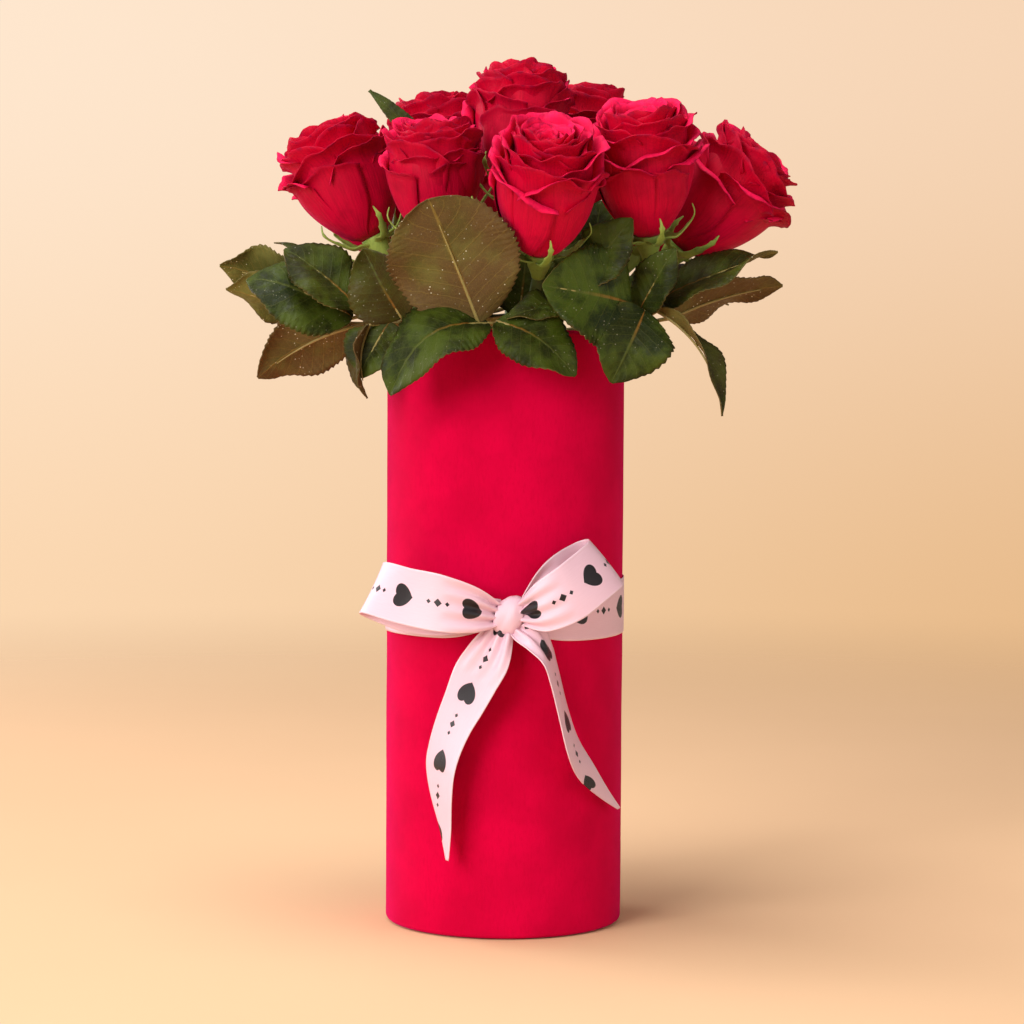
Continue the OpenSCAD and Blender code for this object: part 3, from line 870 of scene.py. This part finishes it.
def goblet(t, w):
    """Radius of the head at share t of its length, with w at the bulge."""
    base = HIP_D / 2 - 0.5
    swell = np.sin(np.pi / 2 * np.minimum(1, t / BULGE)) ** SWELL_POWER
    return base + (w - base) * swell - 0.12 * w * np.maximum(0, t - BULGE) / (1 - BULGE)


def petal(b, rng, rose, phi, scale, height, wrap, curl, start, spiral, dip, tone):
    """One petal, which rises along the goblet and rolls out beyond the share start of its height.

    scale is its share of the goblet's radius, wrap half the angle it covers, curl how far its rim
    rolls, both in degrees, spiral how far one side stands out over the other, and dip how much
    lower its corners are.
    """
    v = np.linspace(0, 1, PETAL_ROWS)[:, None] ** 0.85
    u = np.linspace(-1, 1, PETAL_COLUMNS)[None, :]
    phase = rng.uniform(0, 2 * np.pi, 10)
    top = height * (1 - dip * np.abs(u) ** 3 + 0.02 * np.sin(3 * u + phase[6]))
    wide = 0.45 + 0.55 * np.sin(np.pi / 2 * np.minimum(1, v / 0.5))
    angle = phi + u * np.radians(wrap) * wide + 0.07 * np.sin(3 * v + phase[7])
    # The part that follows the goblet
    rise = top * np.minimum(v, start)
    closing = 1 - 0.3 * (1 - scale) * np.clip((v - 0.55) / 0.45, 0, 1) ** 2
    body = goblet(np.clip(rise / rose.length, 0, 1), rose.width / 2) * closing
    r = HEART_R + (body - HEART_R) * scale
    # The rim beyond it, rolled round an arc
    beyond = np.maximum(v - start, 0) * top
    total = (1 - start) * top
    uneven = 0.2 * np.sin(2.3 * u + phase[0]) + 0.14 * np.sin(6 * u + phase[8]) + 0.15 * u**2
    roll = np.maximum(np.radians(curl) * (0.8 + uneven), 0.05)
    bend = roll * beyond / total
    r = r + total / roll * (1 - np.cos(bend))
    z = rise + total / roll * np.sin(bend)
    r = r + spiral * u * (0.35 + 0.65 * v) - 0.8 * (1 - v) * np.abs(u)
    # Ruffles and nicks at the rim, then soft dents all over
    ruffle = v**4
    loose = min(1, 0.35 + curl / 70)
    z = z + ruffle * loose * (1.1 * np.sin(4 * u + phase[1]) + 0.75 * np.sin(9 * u + phase[2]))
    nicks = 0.6 * np.abs(np.sin(8 * u + phase[5])) + 0.4 * np.abs(np.sin(14 * u + phase[9]))
    z = z + v**9 * loose * nicks
    r = r + ruffle * loose * (1.0 * np.sin(5 * u + phase[3]) + 0.6 * np.sin(12 * u + phase[4]))
    dents = np.sin(5 * v + 2 * u + phase[5]) * np.sin(3.5 * u - 2 * v + phase[0])
    r = r + v * loose * 0.7 * dents
    r = r + v * 0.25 * np.sin(11 * u + 3 * v + phase[2]) * np.sin(8 * v + phase[3])
    grid = np.stack([r * np.cos(angle), r * np.sin(angle), z], axis=-1)
    uv = np.stack([v + 0 * z, u + phase[0] + 0 * z], axis=-1)
    b.sheet(grid, 0.7 - 0.35 * v + 0 * u, uv, (0, 1), tone)


def wound_petal(rng, rose, s):
    """A petal of the tight heart, s from 0 inside to 1 outside."""
    height = rose.length * (0.95 + 0.07 * s - 0.04 * rose.openness * (1 - s) ** 2)
    shape = dict(scale=0.07 + 0.5 * s, height=height, wrap=125 - 40 * s, curl=8 + 34 * s)
    return dict(shape, start=0.86, spiral=1.2, dip=0.06, tone=0.1)


def middle_petal(rng, rose, s):
    """A petal between the heart and the outer ones."""
    height = rose.length * (1.03 - 0.07 * s + rng.uniform(-0.02, 0.02))
    scale = 0.6 + (0.18 + 0.05 * rose.openness) * s
    curl = 36 + (28 + 30 * rose.openness) * s
    shape = dict(scale=scale, height=height, wrap=80 - 14 * s, curl=curl)
    return dict(shape, start=0.84, spiral=1.5, dip=0.1, tone=0.08)


def outer_petal(rng, rose, s):
    """A petal of the outside, lower and rolled further out as the rose opens."""
    opened = rose.openness
    height = rose.length * (0.93 - (0.14 + 0.05 * opened) * s + rng.uniform(-0.03, 0.03))
    curl = 70 + (30 + 35 * opened) * s + rng.uniform(-14, 14)
    scale = 0.81 + (0.05 + 0.07 * opened) * s
    shape = dict(scale=scale, height=height, wrap=68 - 8 * s, curl=curl)
    return dict(shape, start=0.83 - 0.07 * opened, spiral=1.6, dip=0.14, tone=0.1 + 0.25 * s)


def guard_petal(rng, rose, s):
    """One of the two short old petals at the foot of the head."""
    height = rose.length * rng.uniform(0.62, 0.72)
    shape = dict(scale=0.91, height=height, wrap=58, curl=60 + 30 * rose.openness)
    return dict(shape, start=0.84, spiral=1.0, dip=0.16, tone=0.4)


# Petals of each kind in a head, from the heart outward
PETALS = [(13, wound_petal), (9, middle_petal), (8, outer_petal), (2, guard_petal)]


def rose_head(k, rose):
    """Inner petals wound tight and tall, outer ones lower, wider and rolled out at the rim."""
    rng = np.random.default_rng(300 + k)
    b = Builder()
    phi = rng.uniform(0, 6.28)
    for count, kind in PETALS:
        for j in range(count):
            petal(b, rng, rose, phi, **kind(rng, rose, j / (count - 1)))
            phi += GOLDEN_ANGLE
    core = [(0, 0, 0.5), (0, 0, rose.length * 0.3), (0, 0, rose.length * 0.8)]
    b.tube(core, [5, 4, 1.5], slot=1, tone=0.6)
    b.move(seat_matrix(rose))
    name = f"rose_{k + 1:02d}"
    b.make(f"{name}_petals", [petal_in, petal_out], "arrangement", [f"{name}_head"])


def sepal(b, rng, bend, tip, width):
    """A thin tapering sepal, cupped along its length, with two small teeth."""
    end = tip + np.array([-0.5, 0, 6.0])
    path = smooth([(HIP_D / 4, 0, -4.5), (9, 0, -2.6), bend, tip, end], 8)
    t = np.linspace(0, 1, len(path))[:, None]
    u = np.linspace(-1, 1, 9)[None, :]
    swell = 0.75 + 0.6 * np.sin(np.pi * np.minimum(1, t * 1.6))
    half = width / 2 * (1 - t) ** 0.8 * swell + 0.12
    for place, size in ((0.62, 0.8), (0.78, 0.6)):
        half = half + size * np.exp(-(((t - place) / 0.03) ** 2))
    sway = 1.1 * np.sin(2.5 * t + rng.uniform(0, 6)) * t
    x = path[:, 0][:, None] + 0 * u
    z = path[:, 2][:, None] + half * 0.45 * u**2
    grid = np.stack([x, u * half + sway, z], axis=-1)
    uv = np.stack([t + 0 * u, u + 0 * t], axis=-1)
    b.sheet(grid, 0.5, uv, tone=0.2)


def calyx(k, rose):
    """The hip, with five low ribs, and five sepals that spread and turn up."""
    rng = np.random.default_rng(500 + k)
    b = Builder()
    t = np.linspace(0, 1, 17)
    neck_r = STEM_D / 2 + 0.3
    r = neck_r + (HIP_D / 2 - neck_r) * np.sin(np.pi / 2 * t) ** 1.3
    outline = [(0.05, -HIP_H)] + list(zip(r, -HIP_H * (1 - t))) + [(0.05, 0.2)]
    b.revolve(outline, 40, lambda a, r, z: r * (1 + 0.035 * np.cos(5 * a) * (z + HIP_H) / HIP_H))
    for j in range(5):
        wave = math.sin(math.radians(137 * k + 97 * j))
        part = Builder()
        bend = np.array([13.5 + wave, 0, -1 - wave])
        tip = np.array([22 - wave, 0, 9 - 3 * wave])
        sepal(part, rng, bend, tip, rng.uniform(5.4, 7.0))
        part.move(Matrix.Rotation(math.radians(72 * j + 20 + 15 * wave), 4, "Z"))
        b.join(part)
    b.move(seat_matrix(rose))
    name = f"rose_{k + 1:02d}"
    b.make(f"{name}_hip_and_sepals", [green], "arrangement", [f"{name}_calyx"])


def knee_and_neck(rose):
    """Both ends of the leaning part of the stem, from the middle of the rim."""
    seat = np.array(rose.seat, float)
    axis = np.array(seat_matrix(rose).to_3x3() @ Vector((0, 0, 1)))
    knee = np.array([seat[0] * KNEE_SHARE, seat[1] * KNEE_SHARE, KNEE_Z])
    return knee, seat - HIP_H * axis


# Length of blade to a tooth, and radius of the stalk and of the rib where it begins
TOOTH = 2.6
STALK_R, RIB_R = 0.95, 0.85


def leaf_blade(b, rng, grow, leaf):
    """A toothed blade with a raised midrib, and its stalk from the point it grows from."""
    start, end = np.array(leaf.start, float) + RIM, np.array(leaf.end, float) + RIM
    chord = end - start
    length = np.linalg.norm(chord)
    side = unit(np.cross(leaf.facing, chord))
    up = unit(np.cross(chord, side))
    teeth = max(12, int(length / TOOTH))
    t = np.linspace(0, 1, teeth * 4 + 1)
    w = np.linspace(-1, 1, 17)
    # Midrib, bowed, with the way across it, which the twist turns
    centre = start + t[:, None] * chord + (4 * leaf.bow * t * (1 - t) * length)[:, None] * up
    normal = unit(up - (4 * leaf.bow * (1 - 2 * t))[:, None] * unit(chord))
    turn = np.radians(leaf.twist) * t**2
    out = np.cos(turn)[:, None] * side + np.sin(turn)[:, None] * normal
    normal = unit(np.cross(np.gradient(centre, axis=0), out))
    # Outline with its teeth
    belly = np.sin(np.pi * t ** (0.8 + 0.25 * leaf.rounded)) ** (0.75 - 0.2 * leaf.rounded)
    half = np.maximum(0.8, leaf.width / 2 * belly)
    half = half * (1 + 0.075 * ((t * teeth) % 1.0) * (half > 3))
    # Fold, waves, drooping edges and the quilting between the side veins
    fold = math.radians(leaf.fold)
    flat = half[:, None] * w
    phase = rng.uniform(0, 6.28, 4)
    wave = 2.2 * np.sin(8 * t + phase[0])[:, None] * w**3
    wave = wave + 1.1 * np.sin(15 * t + phase[1])[:, None] * w**2
    wave = wave + 0.9 * np.sin(6 * t + phase[2])[:, None] * np.cos(2.5 * w + phase[3])
    lift = np.abs(flat) * math.sin(fold)
    lift = lift + wave * np.minimum(1, half / 10)[:, None]
    lift = lift - 0.09 * half[:, None] * w**4
    quilt = np.abs(np.sin(np.pi * (t[:, None] * SIDE_VEINS - np.abs(w) * VEIN_SLANT)))
    lift = lift + 0.5 * quilt * (1 - w**2) * np.minimum(1, half / 8)[:, None]
    grid = centre[:, None] + out[:, None] * (flat * math.cos(fold))[..., None]
    grid = grid + normal[:, None] * lift[..., None]
    uv = np.stack([t[:, None] + 0 * flat, w + 0 * flat], axis=-1)
    b.sheet(grid, 0.45, uv, (0, 1), leaf.brown)
    # Stalk, sagging a little, which runs on below the blade as its rib
    stalk_steps = 8
    sag = np.sin(np.linspace(0, np.pi, stalk_steps))[:, None] * np.array([0, 0, -0.8])
    stem_side = np.linspace(grow + RIM, start, stalk_steps) + sag
    rib = (centre - normal * 0.35)[: int(len(centre) * 0.82) : 4]
    path = np.concatenate([stem_side[:-1], rib])
    radii = [np.full(stalk_steps - 1, STALK_R), np.linspace(RIB_R, 0.25, len(rib))]
    b.tube(path, np.concatenate(radii), slot=2, tone=leaf.brown, sides=8)


def leaves(k, rose):
    """All the leaves of one stem, as one piece."""
    rng = np.random.default_rng(700 + k)
    knee, neck = knee_and_neck(rose)
    b = Builder()
    for leaf in ALL_LEAVES:
        if leaf.rose == k + 1:
            leaf_blade(b, rng, knee + (neck - knee) * leaf.share, leaf)
    name = f"rose_{k + 1:02d}"
    materials = [leaf_top, leaf_under, stalk]
    b.make(f"{name}_foliage", materials, "arrangement", [f"{name}_leaves"])


for k, rose in enumerate(ROSES):
    rose_head(k, rose)
    calyx(k, rose)
    leaves(k, rose)

# ---- Stage and light ----


FLOOR_R, FLOOR_Z, FLOOR_SIDES = 3.0, -0.0005, 64


def floor():
    """A pale disc that fades into the backdrop away from the box."""
    turn = np.linspace(0, 2 * np.pi, FLOOR_SIDES + 1)[:-1]
    ring = [(FLOOR_R * math.cos(a), FLOOR_R * math.sin(a), FLOOR_Z) for a in turn]
    faces = [[0, k + 1, (k + 1) % FLOOR_SIDES + 1] for k in range(FLOOR_SIDES)]
    mesh = bpy.data.meshes.new("floor")
    mesh.from_pydata([(0, 0, FLOOR_Z)] + ring, [], faces)
    obj = bpy.data.objects.new("floor", mesh)
    scene.collection.objects.link(obj)
    g = Graph("pale_floor", 0.8)
    cloud = g.noise(g.object_mm(), 0.004, 2)
    g.set("Base Color", g.mix(cloud, (0.72, 0.47, 0.28), (0.76, 0.5, 0.3)))
    g.set("Specular IOR Level", 0.1)
    far = g.node("ShaderNodeVectorMath")
    far.operation = "LENGTH"
    g.plug(far.inputs[0], g.node("ShaderNodeTexCoord").outputs["Object"])
    clear = g.node("ShaderNodeBsdfTransparent")
    blend = g.node("ShaderNodeMixShader")
    g.plug(blend.inputs[0], g.ramp(far.outputs["Value"], 0.5, 1.6))
    g.plug(blend.inputs[1], g.bsdf.outputs[0])
    g.plug(blend.inputs[2], clear.outputs[0])
    g.plug(g.tree.nodes["Material Output"].inputs["Surface"], blend.outputs[0])
    mesh.materials.append(g.mat)


floor()


# Name, place, point it is aimed at, size in metres, power in watts, colour
LIGHTS = [
    ("key", (-1.1, -1.5, 0.85), (0, 0, 0.24), 1.0, 35, (1, 0.985, 0.97)),
    ("fill", (1.5, -1.1, 0.7), (0, 0, 0.2), 1.2, 9, (1, 0.95, 0.92)),
    ("top", (-0.25, -0.1, 1.6), (0, 0, 0.3), 0.9, 19, (1, 0.98, 0.96)),
    ("back_left", (-1.3, 0.8, 0.6), (0, 0, 0.2), 0.8, 12, (1, 0.93, 0.95)),
]
for name, place, aim, size, power, color in LIGHTS:
    lamp = bpy.data.lights.new(name, "AREA")
    lamp.size, lamp.energy, lamp.color = size, power, color
    obj = bpy.data.objects.new(name, lamp)
    scene.collection.objects.link(obj)
    obj.location = place
    obj.rotation_mode = "QUATERNION"
    obj.rotation_quaternion = (Vector(aim) - Vector(place)).to_track_quat("-Z", "Y")


# Colours of the backdrop on its left and right, near the floor and above
BACKDROP_LOW = ((0.97, 0.68, 0.43), (0.8, 0.49, 0.25))
BACKDROP_HIGH = ((1.0, 0.8, 0.62), (0.92, 0.66, 0.46))
SURROUND_COLOR, SURROUND_STRENGTH = (1.0, 0.9, 0.82, 1), 0.3


def studio_world():
    """Peach backdrop, lighter to the left and above, over a weaker neutral surrounding light."""
    world = bpy.data.worlds.new("world")
    scene.world = world
    world.use_nodes = True
    tree = world.node_tree
    node, link = tree.nodes.new, tree.links.new
    way = node("ShaderNodeSeparateXYZ")
    link(node("ShaderNodeTexCoord").outputs["Generated"], way.inputs[0])

    def fade(source, start, end, a, b):
        """Colour a to colour b as the source goes from start to end."""
        ramp, mix = node("ShaderNodeMapRange"), node("ShaderNodeMix")
        ramp.interpolation_type, mix.data_type = "SMOOTHSTEP", "RGBA"
        link(source, ramp.inputs[0])
        ramp.inputs[1].default_value, ramp.inputs[2].default_value = start, end
        link(ramp.outputs[0], mix.inputs[0])
        for socket, value in ((mix.inputs[6], a), (mix.inputs[7], b)):
            if isinstance(value, tuple):
                socket.default_value = (*value, 1)
            else:
                link(value, socket)
        return mix.outputs[2]

    low = fade(way.outputs[0], -0.2, 0.22, *BACKDROP_LOW)
    high = fade(way.outputs[0], -0.2, 0.22, *BACKDROP_HIGH)
    backdrop = node("ShaderNodeBackground")
    link(fade(way.outputs[2], -0.12, 0.1, low, high), backdrop.inputs[0])
    around = node("ShaderNodeBackground")
    around.inputs[0].default_value = SURROUND_COLOR
    around.inputs[1].default_value = SURROUND_STRENGTH
    both = node("ShaderNodeMixShader")
    link(node("ShaderNodeLightPath").outputs["Is Camera Ray"], both.inputs[0])
    link(around.outputs[0], both.inputs[1])
    link(backdrop.outputs[0], both.inputs[2])
    link(both.outputs[0], tree.nodes["World Output"].inputs["Surface"])


studio_world()
